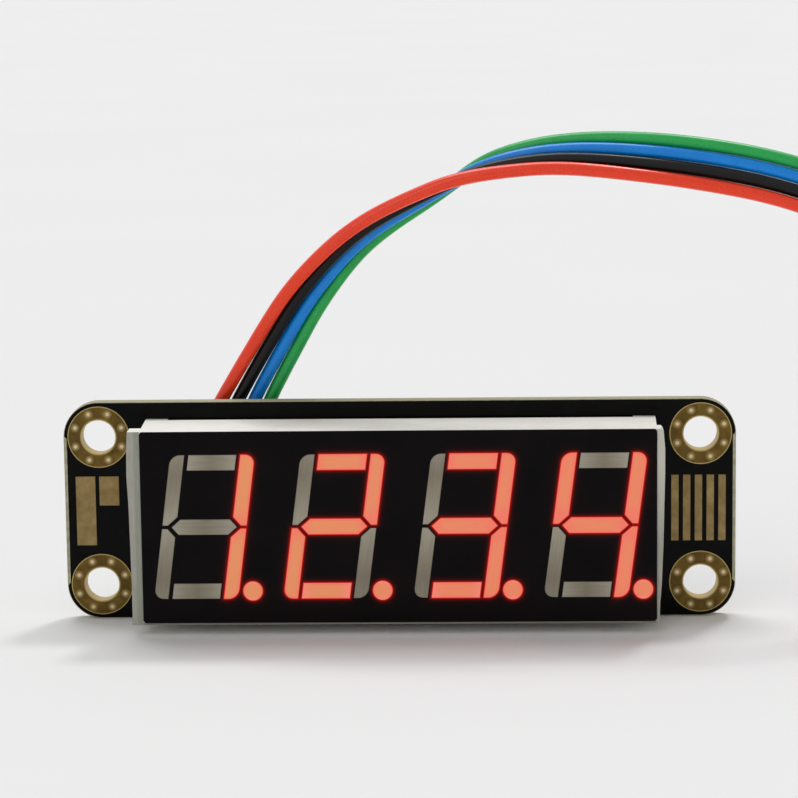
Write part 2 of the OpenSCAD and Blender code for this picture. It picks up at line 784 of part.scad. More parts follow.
// Smooth curve through the rows, at share t of the way from row i to the next
function between(rows, i, t) =
  let (a = rows[max(i - 1, 0)], b = rows[i], c = rows[i + 1], d = rows[min(i + 2, len(rows) - 1)])
  (2 * b + (c - a) * t + (2 * a - 5 * b + 4 * c - d) * t * t
    + (3 * b - a - 3 * c + d) * t * t * t) / 2;

function smooth(rows) = concat(
  [for (i = [0 : len(rows) - 2], t = [0 : wire_parts - 1]) between(rows, i, t / wire_parts)],
  [rows[len(rows) - 1]]);

// Direction of a route at one of its rows; its two ends run straight out of their seats
function heading(rows, i, start, end) = i == 0 ? start : i == len(rows) - 1 ? end
  : unit(at(rows[i + 1]) - at(rows[i - 1]));

function square_to(v, along) = unit(v - (v * along) * along);

module tube(coarse, k, start, end) {
  rows = smooth(coarse);
  n = wire_sides;
  last = len(rows) - 1;
  points = [for (i = [0 : last])
    let (along = heading(rows, i, start, end), a = square_to(side(rows[i]), along),
         b = cross(along, a), middle = at(rows[i]) + (k - 1.5) * rows[i][6] * a)
    each [for (j = [0 : n - 1]) let (t = (j + 0.5) * 360 / n)
      middle + wire_d / 2 * (cos(t) * a + sin(t) * b)]];
  walls = [for (i = [0 : last - 1], j = [0 : n - 1]) let (a = i * n + j, b = i * n + (j + 1) % n)
    each [[a, a + n, b + n], [a, b + n, b]]];
  ends = [[for (j = [0 : n - 1]) j], [for (j = [n - 1 : -1 : 0]) last * n + j]];
  polyhedron(points, concat(walls, ends), convexity = 6);
}

module wire(k) {
  tube(bundle, k, [0, 0, 1], [0, -1, 0]);
  tube(tail, k, unit([0.93, 0.37, 0]), [1, 0, 0]);
}

module cable_coil() {
  color("#3a3a3a") translate([coil_x, coil_y, coil_z]) rotate_extrude()
    translate([coil_inner_r, 0]) square([coil_outer_r - coil_inner_r, coil_h]);
}

module coil_ties() {
  inner = coil_inner_r - tie_t;
  outer = coil_outer_r + tie_t;
  color("#e9e7de") for (a = tie_angles) translate([coil_x, coil_y, floor_z]) rotate(a)
    difference() {
      union() {
        block([inner, outer], [-tie_w / 2, tie_w / 2], [0, coil_h + 2 * tie_t]);
        block([outer, outer + tie_head * 0.6], [-tie_head / 2, tie_head / 2],
              [tie_t, tie_t + tie_head]);
      }
      rotate_extrude() translate([coil_inner_r, tie_t])
        square([coil_outer_r - coil_inner_r, coil_h]);
    }
}

// Socket housing, lying on its side, and its contacts
module socket_shell() {
  color("#1a1a1c") difference() {
    block([socket_x, socket_x + socket_len], [socket_y - socket_w / 2, socket_y + socket_w / 2],
          [floor_z, floor_z + socket_t]);
    for (i = [0 : ways - 1]) {
      bar(i, socket_mouth_w, [socket_x, socket_x + socket_len + 1]);
      bar(i, socket_channel_w, [socket_x - 1, socket_x + socket_len - socket_step]);
      // Window over the contact's latch
      y = socket_y + (i - (ways - 1) / 2) * socket_pitch;
      block([socket_x + socket_len - 5.2, socket_x + socket_len - 3], [y - 0.65, y + 0.65],
            [socket_z, floor_z + socket_t + 1]);
    }
  }
}

module bar(i, w, x) {
  y = socket_y + (i - (ways - 1) / 2) * socket_pitch;
  block(x, [y - w / 2, y + w / 2], [socket_z - w / 2, socket_z + w / 2]);
}

module socket_contacts() {
  end = socket_x + socket_len - socket_step;
  box_len = 7;
  size = socket_channel_w - 0.1;
  color("#cfcdbd") for (i = [0 : ways - 1]) difference() {
    union() {
      bar(i, size, [end - box_len, end]);
      translate([socket_x + wire_sink, socket_y + (i - (ways - 1) / 2) * socket_pitch, socket_z])
        rotate([0, 90, 0]) cylinder(d = wire_d, h = end - box_len - socket_x - wire_sink);
    }
    bar(i, socket_mouth_w, [end - box_len + 1, end + 1]);
  }
}

circuit_board();
mounting_hole_plating();
front_gold_fields();
rear_pads();
display_housing();
display_face();
segments(0, true);  // lit_segments_1
segments(1, true);  // lit_segments_2
segments(2, true);  // lit_segments_3
segments(3, true);  // lit_segments_4
segments(0, false);  // unlit_segments_1
segments(1, false);  // unlit_segments_2
segments(2, false);  // unlit_segments_3
segments(3, false);  // unlit_segments_4
decimal_points();
led_board();
led_dies();
potting_resin();
display_pins();
pin_solder();
driver_chip();
driver_chip_leads();
resistors();
capacitors();
passive_end_caps();
header_shell();
header_contacts();
header_anchor_tabs();
plug_shell();
plug_contacts();
color("#e2402a") wire(0);  // wire_red
color("#1c1c1c") wire(1);  // wire_black
color("#0a6fd0") wire(2);  // wire_blue
color("#3fae5c") wire(3);  // wire_green
cable_coil();
coil_ties();
socket_shell();
socket_contacts();
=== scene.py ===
"""Looks of the four digit seven segment display module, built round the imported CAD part.

Sizes are in millimetres and angles in degrees unless a line says otherwise. X runs along
the board, Z is up and the digits face -Y. The board's rear face lies at Y = 0.
"""
import json
import math

import bmesh
import bpy
from mathutils import Matrix, Vector, geometry


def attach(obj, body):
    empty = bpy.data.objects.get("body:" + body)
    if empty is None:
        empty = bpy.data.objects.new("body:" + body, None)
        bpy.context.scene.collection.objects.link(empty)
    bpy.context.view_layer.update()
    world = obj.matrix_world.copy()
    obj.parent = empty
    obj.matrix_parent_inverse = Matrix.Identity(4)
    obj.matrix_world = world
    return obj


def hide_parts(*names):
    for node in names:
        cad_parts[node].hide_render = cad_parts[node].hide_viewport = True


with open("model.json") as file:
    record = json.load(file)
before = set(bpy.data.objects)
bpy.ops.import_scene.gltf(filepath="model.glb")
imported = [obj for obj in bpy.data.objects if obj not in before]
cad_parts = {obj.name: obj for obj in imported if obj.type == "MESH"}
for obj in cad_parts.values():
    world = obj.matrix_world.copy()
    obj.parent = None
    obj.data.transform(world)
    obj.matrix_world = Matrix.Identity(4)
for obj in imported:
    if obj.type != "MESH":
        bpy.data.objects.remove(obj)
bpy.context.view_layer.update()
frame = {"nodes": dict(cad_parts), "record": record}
MM = 0.001

# Sizes of the part

BOARD_W, FLOOR_Z = 67, -11
BOLT_X, BOLT_Z = 30, 7.5
VIA_COUNT, VIA_CIRCLE_R = 8, 2.5
DISPLAY_W, DISPLAY_H, DISPLAY_AT = 50.25, 19.2, (0.15, -0.3)
FACE_Y, FACE_T, CHIN = -9.6, 0.1, 0.2
DIGITS, DIGIT_PITCH, DIGIT_SHIFT = 4, 12.7, (0.1, 0.17)
SLANT = math.tan(math.radians(7.5))
WAYS, WIRE_D, WIRE_STEP, TURN_STEP = 4, 1.35, 1.4, 1.42
COIL_IN_R, COIL_TURNS, COIL_GAP, COIL_Y, TIE_T = 7.9, 2.1, 11.3, 3, 0.6
SOCKET_GAP, TAIL_GAP = 6.8, 0.3
HEADER = (-16.8, 3)


def add_object(name, data):
    """A new object, linked to the scene."""
    obj = bpy.data.objects.new(name, data)
    bpy.context.scene.collection.objects.link(obj)
    return obj


# Camera

ELEVATION, AZIMUTH, ROLL = 8.902, -1.932, -0.703
TARGET, DISTANCE = (0.36, -9.6, 12.396), 289.969
LENS, SENSOR_W, NEAREST_M = 135.31, 36, 0.01


def make_camera():
    """The photograph's view: 798 x 798, focal length 2999 pixels."""
    elevation, azimuth, roll = map(math.radians, (ELEVATION, AZIMUTH, ROLL))
    ahead = Vector((math.sin(azimuth) * math.cos(elevation),
                    math.cos(azimuth) * math.cos(elevation), -math.sin(elevation)))
    level_right = ahead.cross(Vector((0, 0, 1))).normalized()
    level_up = level_right.cross(ahead)
    right = level_right * math.cos(roll) + level_up * math.sin(roll)
    up = level_up * math.cos(roll) - level_right * math.sin(roll)
    place = Vector(TARGET) * MM - ahead * DISTANCE * MM
    data = bpy.data.cameras.new("camera")
    data.lens, data.sensor_width, data.clip_start = LENS, SENSOR_W, NEAREST_M
    camera = add_object("camera", data)
    camera.matrix_world = Matrix.Translation(place) @ Matrix((right, up, -ahead)).transposed().to_4x4()
    bpy.context.scene.camera = camera


make_camera()
bpy.context.scene.view_settings.view_transform = "Standard"

# Wires

COIL_OUT_R = COIL_IN_R + WIRE_D + COIL_TURNS * TURN_STEP
COIL = Vector((BOARD_W / 2 + COIL_GAP + COIL_OUT_R, COIL_Y))
COIL_MID_Z = FLOOR_Z + TIE_T + (WIRE_D + 3 * WIRE_STEP) / 2
COIL_HOLE_X = COIL.x - COIL_IN_R
SOCKET_X = COIL.x + COIL_OUT_R + SOCKET_GAP
TAIL_R = COIL_OUT_R + WIRE_D / 2 + TAIL_GAP

# Each row: middle of the bundle (x, y, z), direction from the red wire to the green one,
# distance between neighbours. The arch's x and z are told from the header's mouth.
ARCH = [
    (0, 2.7, 1.5, 1, 0, 0, 2), (0.1, 2.7, 4.2, 0.97, 0.12, -0.2, 1.85),
    (1.25, 3, 7.4, 0.86, 0.25, -0.42, 1.5), (4.75, 3, 13.6, 0.8, 0.36, -0.47, 1.4),
    (7.5, 3, 18, 0.68, 0.56, -0.5, 1.4), (11.3, 3, 22.4, 0.45, 0.75, -0.45, 1.4),
    (15, 3, 25.3, 0.3, 0.86, -0.42, 1.4), (19.7, 3, 27.9, 0.16, 0.94, -0.28, 1.4),
    (22.6, 3, 29.4, 0.05, 1, -0.1, 1.4), (26.6, 3, 31, -0.08, 0.93, 0.3, 1.4),
    (33.1, 3, 32, 0, 0.8, 0.6, 1.4), (41.5, 3, 31.6, 0.1, 0.53, 0.83, 1.4),
    (48.8, 3, 30.6, 0.15, 0.38, 0.9, 1.4), (54.8, 3, 29.3, 0.25, 0.35, 0.9, 1.4)]
DROP = [
    (COIL_HOLE_X - 5.5, 3.3, 30.2, 0.4, 0.3, 0.85, 1.4), (COIL_HOLE_X - 1.1, 4, 26, 0.7, 0.4, 0.6, 1.4),
    (COIL_HOLE_X + 1.7, 5, 18, 0.85, 0.5, 0.1, 1.4), (COIL_HOLE_X + 2.9, 6, 7, 0.7, 0.7, 0, 1.4),
    (COIL_HOLE_X + 2.9, 6.2, -1, 0.4, 0.9, -0.1, 1.4), (COIL_HOLE_X + 2.1, 5.2, -5.6, 0.1, 0.6, -0.8, 1.4),
    (COIL_HOLE_X + 1, 3.4, COIL_MID_Z, 0, 0.1, -1, 1.4)]
TAIL = [
    (COIL.x + TAIL_R * 0.4, COIL_Y - TAIL_R * 0.917, COIL_MID_Z, 0, 0, -1, 1.4),
    (COIL.x + TAIL_R * 0.72, COIL_Y - TAIL_R * 0.83, COIL_MID_Z - 0.25, 0, -0.35, -0.94, 1.6),
    (COIL.x + 14, -6.5, -9.13, 0, -0.98, -0.2, 2.2), (SOCKET_X + 1, -5.5, -9.73, 0, -1, 0, 2.54)]

# Angle and radius round the coil's centre: where the bundle runs in, turns and runs out
RUN_IN, RUN_OUT = [(200, 7.6), (225, 8.3)], [(975, 11.75), (997, 12.5)]
TURNS_FROM, TURNS_TO, TURNS_BY, FIRST_TURN_R = 250, 950, 20, 8.62

CURVE_PARTS = 8
ALL_PASSES, TAIL_PASSES, TAIL_POINTS = 9, 24, 26


def coil_rows():
    """A little over two turns, each outside the last, from the coil's hole outwards."""
    turns = [(a, FIRST_TURN_R + TURN_STEP * (a - TURNS_FROM) / 360)
             for a in range(TURNS_FROM, TURNS_TO + 1, TURNS_BY)]
    return [(COIL.x + r * math.cos(math.radians(a)), COIL_Y + r * math.sin(math.radians(a)), COIL_MID_Z,
             0, 0, -1, WIRE_STEP) for a, r in RUN_IN + turns + RUN_OUT]


def curve(rows, parts):
    """Catmull-Rom curve through the rows, with so many parts between two rows."""
    rows = [Vector(r) for r in rows]
    out = []
    for i in range(len(rows) - 1):
        a, b, c, d = rows[max(i - 1, 0)], rows[i], rows[i + 1], rows[min(i + 2, len(rows) - 1)]
        for t in (s / parts for s in range(parts)):
            out.append((2 * b + (c - a) * t + (2 * a - 5 * b + 4 * c - d) * t * t
                        + (3 * b - a - 3 * c + d) * t ** 3) / 2)
    return out + [rows[-1]]


def relax(line):
    """Smooths a wire in passes over its whole length, and in further ones near its far end."""
    for done in range(TAIL_PASSES):
        first = 1 if done < ALL_PASSES else len(line) - TAIL_POINTS
        old = list(line)
        for i in range(first, len(line) - 1):
            line[i] = (old[i - 1] + 2 * old[i] + old[i + 1]) / 4


def wire_lines():
    """The four wires' routes, in metres, side by side along the bundle's."""
    arch = [(r[0] + HEADER[0], r[1], r[2] + HEADER[1]) + r[3:] for r in ARCH]
    rows = curve(arch + DROP + coil_rows() + TAIL, CURVE_PARTS)
    lines = [[] for k in range(WAYS)]
    for i, row in enumerate(rows):
        along = Vector(rows[min(i + 1, len(rows) - 1)][:3]) - Vector(rows[max(i - 1, 0)][:3])
        along.normalize()
        side = Vector(row[3:6])
        side = (side - side.dot(along) * along).normalized()
        for k in range(WAYS):
            lines[k].append((Vector(row[:3]) + (k - (WAYS - 1) / 2) * row[6] * side) * MM)
    for line in lines:
        relax(line)
    return lines


def make_wire(name, line, k, *nodes):
    """A round wire along the line. It leaves the plug where the ways are 2 mm apart."""
    data = bpy.data.curves.new(name, "CURVE")
    data.dimensions = "3D"
    data.bevel_depth, data.bevel_resolution, data.use_fill_caps = 1, 4, True
    spline = data.splines.new("POLY")
    spline.points.add(len(line) - 1)
    for point, place in zip(spline.points, line):
        point.co, point.radius = (*place, 1), WIRE_D / 2 * MM
    spline.use_smooth = True
    obj = add_object(name, data)
    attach(obj, "root")
    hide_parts(*nodes)
    return obj


lines = wire_lines()
wires = [make_wire("red_wire", lines[0], 0, "wire_red"),
         make_wire("black_wire", lines[1], 1, "wire_black", "cable_coil"),
         make_wire("blue_wire", lines[2], 2, "wire_blue"),
         make_wire("green_wire", lines[3], 3, "wire_green")]

# Material helpers

BLACK = (0, 0, 0, 1)


def rgb(code):
    """Linear colour of an sRGB code such as #9A988C."""
    parts = [int(code[i:i + 2], 16) / 255 for i in (1, 3, 5)]
    return tuple(c / 12.92 if c <= 0.04045 else ((c + 0.055) / 1.055) ** 2.4 for c in parts) + (1,)


def toned(colour, share):
    """The colour made darker, or paler by a share above 1."""
    return tuple(min(1, c * share) for c in colour[:3]) + (1,)


class Look:
    """A procedural material. Places are in the part's frame, in millimetres."""

    def __init__(self, name, rough=0.5, metal=0.0, specular=0.5):
        self.mat = bpy.data.materials.new(name)
        self.mat.use_nodes = True
        self.tree = self.mat.node_tree
        self.tree.nodes.clear()
        out = self.tree.nodes.new("ShaderNodeOutputMaterial")
        self.shader = self.tree.nodes.new("ShaderNodeBsdfPrincipled")
        self.tree.links.new(self.shader.outputs[0], out.inputs[0])
        self.shader.inputs["Roughness"].default_value = rough
        self.shader.inputs["Metallic"].default_value = metal
        self.shader.inputs["Specular IOR Level"].default_value = specular
        where = self.tree.nodes.new("ShaderNodeTexCoord")
        self.mm = self.vector("SCALE", where.outputs["Object"], scale=1 / MM)

    def put(self, socket, value):
        """Links a node's output to the socket, or sets a number, a vector or a colour."""
        if isinstance(value, bpy.types.NodeSocket):
            self.tree.links.new(value, socket)
        else:
            socket.default_value = rgb(value) if isinstance(value, str) else value

    def set(self, key, value):
        self.put(self.shader.inputs[key], value)

    def vector(self, kind, a, b=None, scale=None):
        n = self.tree.nodes.new("ShaderNodeVectorMath")
        n.operation = kind
        self.put(n.inputs[0], a)
        if b is not None:
            self.put(n.inputs[1], b)
        if scale is not None:
            n.inputs["Scale"].default_value = scale
        return n.outputs["Value"] if kind == "LENGTH" else n.outputs[0]

    def math(self, kind, a, b=0.0, clamp=False):
        n = self.tree.nodes.new("ShaderNodeMath")
        n.operation, n.use_clamp = kind, clamp
        self.put(n.inputs[0], a)
        self.put(n.inputs[1], b)
        return n.outputs[0]

    def add(self, a, b, clamp=False):
        return self.math("ADD", a, b, clamp)

    def minus(self, a, b):
        return self.math("SUBTRACT", a, b)

    def times(self, a, b):
        return self.math("MULTIPLY", a, b)

    def larger(self, a, b):
        return self.math("MAXIMUM", a, b)

    def smaller(self, a, b):
        return self.math("MINIMUM", a, b)

    def above(self, a, b):
        return self.math("GREATER_THAN", a, b)

    def below(self, a, b):
        return self.math("LESS_THAN", a, b)

    def abs(self, a):
        return self.math("ABSOLUTE", a)

    def blend(self, a, b, share):
        """Two values added, the first by this share and the second by the rest."""
        return self.add(self.times(a, share), self.times(b, 1 - share))

    def split(self, vector=None):
        """X, Y and Z of a vector, or of the place."""
        n = self.tree.nodes.new("ShaderNodeSeparateXYZ")
        self.put(n.inputs[0], vector or self.mm)
        return n.outputs

    def join(self, x, y, z):
        n = self.tree.nodes.new("ShaderNodeCombineXYZ")
        for socket, value in zip(n.inputs, (x, y, z)):
            self.put(socket, value)
        return n.outputs[0]

    def normal_y(self):
        """How far the surface faces the rear: -1 on a front and 1 on a rear."""
        return self.split(self.tree.nodes.new("ShaderNodeNewGeometry").outputs["Normal"])[1]

    def noise(self, scale, stretch=(1, 1, 1), detail=3.0, rough=0.55, where=None):
        n = self.tree.nodes.new("ShaderNodeTexNoise")
        self.put(n.inputs["Vector"], self.vector("MULTIPLY", where or self.mm, stretch))
        n.inputs["Scale"].default_value = scale
        n.inputs["Detail"].default_value = detail
        n.inputs["Roughness"].default_value = rough
        return n.outputs[0]

    def span(self, value, low, high, to_low=0.0, to_high=1.0, smooth=False):
        """The value's place from low to high, told on another scale."""
        n = self.tree.nodes.new("ShaderNodeMapRange")
        if smooth:
            n.interpolation_type = "SMOOTHSTEP"
        for socket, v in zip(n.inputs, (value, low, high, to_low, to_high)):
            self.put(socket, v)
        return n.outputs[0]

    def mix(self, share, a, b):
        """A colour from a to b."""
        n = self.tree.nodes.new("ShaderNodeMix")
        n.data_type = "RGBA"
        self.put(n.inputs[0], share)
        self.put(n.inputs[6], a)
        self.put(n.inputs[7], b)
        return n.outputs[2]

    def between(self, share, a, b):
        """A number from a to b."""
        n = self.tree.nodes.new("ShaderNodeMix")
        self.put(n.inputs[0], share)
        self.put(n.inputs[2], a)
        self.put(n.inputs[3], b)
        return n.outputs[0]

    def ramp(self, value, *stops):
        n = self.tree.nodes.new("ShaderNodeValToRGB")
        while len(n.color_ramp.elements) < len(stops):
            n.color_ramp.elements.new(0.5)
        for element, (at, colour) in zip(n.color_ramp.elements, stops):
            element.position = at
            element.color = rgb(colour) if isinstance(colour, str) else colour
        self.put(n.inputs[0], value)
        return n.outputs[0]

    def attribute(self, name):
        n = self.tree.nodes.new("ShaderNodeAttribute")
        n.attribute_name = name
        return n.outputs

    def bump(self, height, strength, distance):
        n = self.tree.nodes.new("ShaderNodeBump")
        n.inputs["Strength"].default_value = strength
        n.inputs["Distance"].default_value = distance * MM
        self.put(n.inputs["Height"], height)
        self.put(self.shader.inputs["Normal"], n.outputs[0])


# Materials


def plastic(name, code, rough, vary=0.12, grain=9.0, bump=0.12, depth=0.03, specular=0.4):
    """Moulded plastic: mottled colour, uneven gloss and a fine grain."""
    look = Look(name, rough, specular=specular)
    broad, fine = look.noise(0.35, detail=4), look.noise(grain, detail=4)
    dark, pale = toned(rgb(code), 1 - vary), toned(rgb(code), 1 + vary * 0.6)
    look.set("Base Color", look.ramp(look.blend(broad, fine, 0.7), (0.35, dark), (0.65, pale)))
    look.set("Roughness", look.span(fine, 0.3, 0.7, rough * 0.85, min(1, rough * 1.15)))
    look.bump(fine, bump, depth)
    return look.mat


def metal(name, code, rough, vary=0.15):
    """Plated or tinned metal: cloudy gloss and fine scratches."""
    look = Look(name, rough, 1.0)
    cloud, fine = look.noise(0.9, detail=5), look.noise(14, (1, 1, 0.2), detail=3)
    look.set("Base Color", look.ramp(cloud, (0.35, toned(rgb(code), 1 - vary)), (0.7, code)))
    look.set("Roughness", look.span(fine, 0.3, 0.7, rough * 0.75, rough * 1.3))
    look.bump(fine, 0.08, 0.02)
    return look.mat


def past_bolts(look):
    """How far the place lies beyond the nearest mounting hole's centre, along X and Z."""
    x, _, z = look.split()
    return look.minus(look.abs(x), BOLT_X), look.minus(look.abs(z), BOLT_Z)


def board_look():
    """Black solder mask, drawn back a little from the pale laminate at the board's edge."""
    # How far past the holes' centres the mask reaches; the board's edge lies 3.5 past them
    short_side_reach, long_side_reach = 3.2, 3.44
    look = Look("board_black", 0.2, specular=0.06)
    past_x, past_z = past_bolts(look)
    corner = look.vector("LENGTH", look.join(look.larger(past_x, 0.0), 0.0, look.larger(past_z, 0.0)))
    edge = look.add(corner, look.smaller(look.larger(past_x, past_z), 0.0))
    flat = look.span(look.abs(look.normal_y()), 0.4, 0.6)
    line = look.span(past_z, -0.2, 0.1, short_side_reach, long_side_reach)
    bare = look.larger(look.above(edge, line), look.minus(1.0, flat))
    layers, weave = look.noise(3.0, (0.4, 9, 0.4), detail=3), look.noise(5.0, detail=2)
    laminate = look.ramp(look.blend(layers, weave, 0.7), (0.3, "#96927A"), (0.7, "#C4C0A4"))
    ripple = look.noise(0.5, detail=5)
    mask = look.ramp(ripple, (0.3, "#060505"), (0.7, "#0D0C0B"))
    look.set("Base Color", look.mix(bare, mask, laminate))
    look.set("Roughness", look.span(bare, 0, 1, 0.16, 0.7))
    look.bump(look.add(ripple, look.times(look.noise(30, detail=2), 0.08)), 0.1, 0.02)
    return look.mat


def gold_look():
    """Dull gold plating, with painted highlights along the rings' rims, lighter on the solder dots, with a
    painted glint at each dot's centre.
    """
    bore_r, ring_r = 1.7, 3.1
    look = Look("gold_plating", 0.38, 0.75)
    past_x, past_z = past_bolts(look)
    r = look.vector("LENGTH", look.join(past_x, 0.0, past_z))
    cloud, fine = look.noise(0.8, detail=6, rough=0.6), look.noise(10, detail=3)
    ring = look.ramp(cloud, (0.3, "#4E3B12"), (0.55, "#644E1C"), (0.75, "#7B6229"))
    field = look.ramp(cloud, (0.3, "#77623A"), (0.55, "#89744A"), (0.75, "#9A8558"))
    # Painted highlights along the bore's edge and the ring's outer edge, on flat faces only
    bore_rim_highlight = look.span(r, bore_r + 0.2, bore_r + 0.02, smooth=True)
    outer_rim_highlight = look.span(r, ring_r - 0.14, ring_r - 0.02, smooth=True)
    flat = look.above(look.abs(look.normal_y()), 0.3)
    rim = look.times(look.larger(bore_rim_highlight, outer_rim_highlight), flat)
    ring = look.mix(flat, "#A88A40", ring)
    ring = look.mix(look.times(rim, 0.7), ring, "#CDB878")
    # Distance to the nearest dot, by the cosine rule from the hole's centre
    step = 2 * math.pi / VIA_COUNT
    turn = look.math("ARCTAN2", past_z, past_x)
    from_dot = look.minus(look.math("FLOORED_MODULO", turn, step), step / 2)
    squares = look.add(look.times(r, r), VIA_CIRCLE_R ** 2)
    product = look.times(look.times(r, 2 * VIA_CIRCLE_R), look.math("COSINE", from_dot))
    reach = look.math("SQRT", look.larger(look.minus(squares, product), 0.0))
    # Solder dots are lighter; glint is a painted highlight at each dot's centre
    dot, glint = look.span(reach, 0.5, 0.34, smooth=True), look.span(reach, 0.3, 0.08, smooth=True)
    ring = look.mix(look.times(dot, 0.55), ring, "#9C8658")
    ring = look.mix(look.times(glint, 0.9), ring, "#D9C69A")
    look.set("Base Color", look.mix(look.below(r, ring_r + 0.2), field, ring))
    look.set("Roughness", look.span(fine, 0.3, 0.7, 0.3, 0.5))
    look.bump(fine, 0.15, 0.02)
    return look.mat


def housing_look():
    """White moulded plastic. The front faces of the rims beside the face carry painted shade, stepped in
    two grey tones with the outer step paler and streaked darker; the right rim has painted light towards
    its top, and the chin's front has painted shade.
    """
    # Ends of the black face, where the rims begin and where they step back, and top of the chin
    face_left, face_right, step_from, step_to, chin_top = -24.98, 25.26, 25.38, 25.6, -9.66
    look = Look("housing_white", 0.42, specular=0.4)
    x, _, z = look.split()
    broad, fine = look.noise(0.3, detail=5), look.noise(7, (1, 1, 0.4), detail=4)
    front = look.below(look.normal_y(), -0.5)
    # Painted shade: the rims' front faces are grey instead of the housing's white, in two tones with the
    # outer step paler
    rim = look.times(look.larger(look.below(x, face_left), look.above(x, face_right)), front)
    outer = look.span(look.abs(look.add(x, 0.1)), step_from, step_to)
    tone = look.mix(outer, "#9CA092", "#B2B0A4")
    streak = look.noise(2.2, (1.6, 1, 0.25), detail=4)
    tone = look.mix(look.span(streak, 0.35, 0.7, 0, 0.5), tone, "#8E8B80")
    # Painted light on the right rim, paler towards its top
    painted_rim_light = look.times(look.above(x, 0), look.span(z, -2, 6, 0, 0.75))
    tone = look.mix(painted_rim_light, tone, "#DBD8CB")
    white = look.ramp(broad, (0.3, "#F6F4EA"), (0.7, "#FFFEF8"))
    # Painted shade on the chin's front face
    chin = look.times(look.below(z, chin_top), front)
    white = look.mix(look.times(chin, 0.9), white, "#6E6B60")
    look.set("Base Color", look.mix(rim, white, tone))
    look.set("Roughness", look.span(fine, 0.3, 0.7, 0.36, 0.52))
    look.bump(fine, 0.12, 0.03)
    return look.mat


def face_look():
    """Black front layer that glows dark red close round the lit segments."""
    look = Look("face_black", 0.3, specular=0.05)
    glow = look.attribute("look")["Fac"]
    broad, fine = look.noise(0.25, detail=5), look.noise(18, detail=2)
    look.set("Base Color", look.ramp(broad, (0.3, "#0A0809"), (0.7, "#100C0D")))
    look.set("Emission Color", look.ramp(glow, (0.0, BLACK), (0.3, "#100000"), (0.55, "#260101"),
                                         (0.78, "#560202"), (0.92, "#A00A06"), (1.0, "#E23A28")))
    look.set("Emission Strength", 1.0)
    look.set("Roughness", look.span(fine, 0.3, 0.7, 0.24, 0.38))
    look.bump(look.add(broad, look.times(fine, 0.15)), 0.08, 0.03)
    return look.mat


def streaks(look, level):
    """Fine drawn streaks along each segment: level is 1 on a level one and 0 on an upright."""
    x, y, z = look.split()
    leaned = look.join(look.minus(x, look.times(z, SLANT)), y, z)
    up = look.noise(4.0, (1.6, 1, 0.09), detail=4, where=leaned)
    across = look.noise(4.0, (0.09, 1, 1.6), detail=4)
    return look.between(level, up, across)


def lit_look():
    """Lit resin: orange in the middle, pinker towards the sides and ends, red at the very edge."""
    look = Look("segment_lit", 0.35, specular=0.2)
    rim, end, level = look.split(look.attribute("look")["Vector"])
    streak = streaks(look, level)
    x, _, z = look.split()
    sides, ends = look.span(rim, 0.3, 0.95, smooth=True), look.span(end, 0.55, 1.0, smooth=True)
    pink = look.add(look.larger(sides, ends), look.span(streak, 0.3, 0.7, -0.3, 0.3))
    pink = look.add(pink, look.span(x, -22, 8, -0.2, 0.5), clamp=True)
    body = look.mix(pink, "#E38E60", "#F07A64")
    low = look.times(look.span(end, 0.5, 1.0, smooth=True), look.span(z, -3, -7))
    body = look.mix(look.times(low, 0.45), body, "#F79A8C")
    glow = look.mix(look.span(rim, 0.9, 1.0), body, "#E8452E")
    look.set("Base Color", look.mix(0.85, glow, BLACK))
    look.set("Emission Color", glow)
    look.set("Emission Strength", 0.88)
    look.bump(streak, 0.1, 0.03)
    return look.mat


def unlit_look():
    """Unlit resin: warm grey, paler towards the ends, finely streaked."""
    look = Look("segment_unlit", 0.45, specular=0.3)
    rim, end, level = look.split(look.attribute("look")["Vector"])
    streak = streaks(look, level)
    grey = look.ramp(look.blend(end, streak, 0.55), (0.15, "#867D6B"), (0.5, "#9B9482"), (0.85, "#B5AE9C"))
    look.set("Base Color", look.mix(look.span(rim, 0.86, 1.0, 0, 0.6), grey, "#3A352C"))
    look.bump(streak, 0.2, 0.03)
    return look.mat


def wire_look(name, pale, dark, specular=0.5):
    """Soft insulation with a satin skin, faintly uneven along its length."""
    look = Look(name, 0.3, specular=specular)
    broad, fine = look.noise(0.5, detail=4), look.noise(6, detail=4)
    look.set("Base Color", look.ramp(look.blend(broad, fine, 0.6), (0.35, dark), (0.65, pale)))
    look.set("Roughness", look.span(fine, 0.3, 0.7, 0.26, 0.32))
    look.bump(fine, 0.1, 0.02)
    return look.mat


LOOKS = {
    "board_black": board_look(), "gold_plating": gold_look(), "housing_white": housing_look(),
    "face_black": face_look(), "segment_lit": lit_look(), "segment_unlit": unlit_look(),
    "track_black": plastic("track_black", "#201E19", 0.3, grain=5, specular=0.1),
    "inner_board": plastic("inner_board", "#3C6B46", 0.5),
    "die_gold": metal("die_gold", "#D9A441", 0.3),
    "potting": plastic("potting", "#C9C2AC", 0.25, grain=2.5, bump=0.25, depth=0.08),
    "tinned_pins": metal("tinned_pins", "#C9C9C4", 0.28),
    "solder": metal("solder", "#BFC0BD", 0.33),
    "chip_black": plastic("chip_black", "#222224", 0.62, grain=16, bump=0.35, depth=0.04, specular=0.3),
    "resistor_black": plastic("resistor_black", "#26282E", 0.3),
    "capacitor_tan": plastic("capacitor_tan", "#B08A5C", 0.55),
    "connector_white": plastic("connector_white", "#E9E5D8", 0.4, vary=0.08),
    "tie_white": plastic("tie_white", "#E4E1D8", 0.38, vary=0.08),
    "socket_black": plastic("socket_black", "#1D1D1F", 0.48, specular=0.35),
    "wire_red": wire_look("wire_red", "#FF3E00", "#F83400"),
    "wire_black": wire_look("wire_black", "#0F0F0F", "#0A0A0A", 0.22),
    "wire_blue": wire_look("wire_blue", "#0090F0", "#0084E2", 0.36),
    "wire_green": wire_look("wire_green", "#22B656", "#1AA84C", 0.4),
}
for wire, name in zip(wires, ("wire_red", "wire_black", "wire_blue", "wire_green")):
    wire.data.materials.append(LOOKS[name])

# Display front

